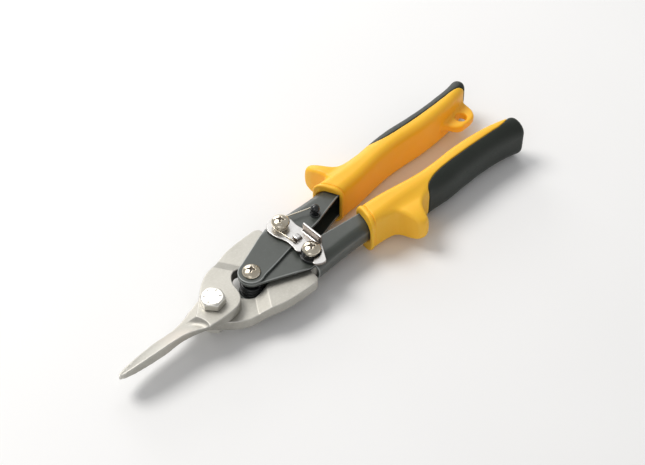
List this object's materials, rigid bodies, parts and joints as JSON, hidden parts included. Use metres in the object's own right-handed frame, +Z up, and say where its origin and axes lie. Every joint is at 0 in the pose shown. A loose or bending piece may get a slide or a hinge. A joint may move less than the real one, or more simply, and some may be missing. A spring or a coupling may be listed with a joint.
{
  "type": "aviation snips",
  "caption": "Compound-leverage hand snips for sheet metal: two forged blades, two sprung channel handles with moulded grips, and a swinging latch.",
  "frame": {"origin": "middle of the underside of the closed tool as it lies flat: the centre of its bounding box in X and Y, at the level its grips and pivot bolt rest on", "axes": "+X along the tool from the blade tip to the grip ends, +Y across it towards handle A (the one that carries the latch and the hang loop), +Z up, along the pivots"},
  "size_m": [0.253, 0.072, 0.0285],
  "materials": {
    "blade_steel": "satin",
    "bolt_zinc": "satin",
    "nickel": "polished",
    "latch_nickel": "polished",
    "handle_paint": "satin",
    "black_steel": "satin",
    "bush_steel": "turned",
    "grip_yellow": "satin",
    "grip_dark": "soft touch"
  },
  "bodies": {
    "handle_b": {"handle_b_channel": "handle_paint", "grip_b_sleeve": "grip_yellow", "grip_b_insert": "grip_dark", "tail_screw_b": "nickel", "tail_nut_b": "bolt_zinc", "tail_bush_b": "bush_steel", "tail_spacers_b": "black_steel", "catch_collar": "black_steel", "handle_pivot_screw": "nickel", "handle_pivot_nut": "bolt_zinc", "handle_pivot_bush": "black_steel", "main_spring": "black_steel"},
    "handle_a": {"handle_a_channel": "handle_paint", "grip_a_sleeve": "grip_yellow", "grip_a_insert": "grip_dark", "tail_screw_a": "nickel", "tail_nut_a": "bolt_zinc", "tail_bush_a": "bush_steel", "tail_spacers_a": "black_steel", "latch_stud": "black_steel", "latch_spring": "nickel", "main_spring_leg": "black_steel"},
    "blade_a": {"blade_a": "blade_steel"},
    "blade_b": {"blade_b": "blade_steel", "pivot_bolt": "bolt_zinc", "pivot_nut": "bolt_zinc"},
    "latch": {"latch_plate": "latch_nickel", "latch_spring_leg": "nickel"}
  },
  "joints": [
    {"name": "handle_opening", "type": "hinge", "parent": "handle_b", "child": "handle_a", "pos_m": [-0.0443, 0, 0.0128], "axis": [0, 0, 1], "range_deg": [0, 44]},
    {"name": "blade_a_swing", "type": "hinge", "parent": "handle_a", "child": "blade_a", "pos_m": [-0.0148, 0.0112, 0.0128], "axis": [0, 0, 1], "range_deg": [-10.8, 0]},
    {"name": "blade_b_swing", "type": "hinge", "parent": "handle_b", "child": "blade_b", "pos_m": [-0.0148, -0.0112, 0.0128], "axis": [0, 0, 1], "range_deg": [0, 10.8]},
    {"name": "latch_release", "type": "hinge", "parent": "handle_a", "child": "latch", "pos_m": [-0.0148, 0.0112, 0.0128], "axis": [0, 0, 1], "range_deg": [0, 44]}
  ],
  "couplings": [
    {"joint": "blade_a_swing", "follows": "handle_opening", "ratio": -0.244},
    {"joint": "blade_b_swing", "follows": "handle_opening", "ratio": 0.244},
    {"joint": "latch_release", "follows": "handle_opening", "ratio": 1}
  ]
}
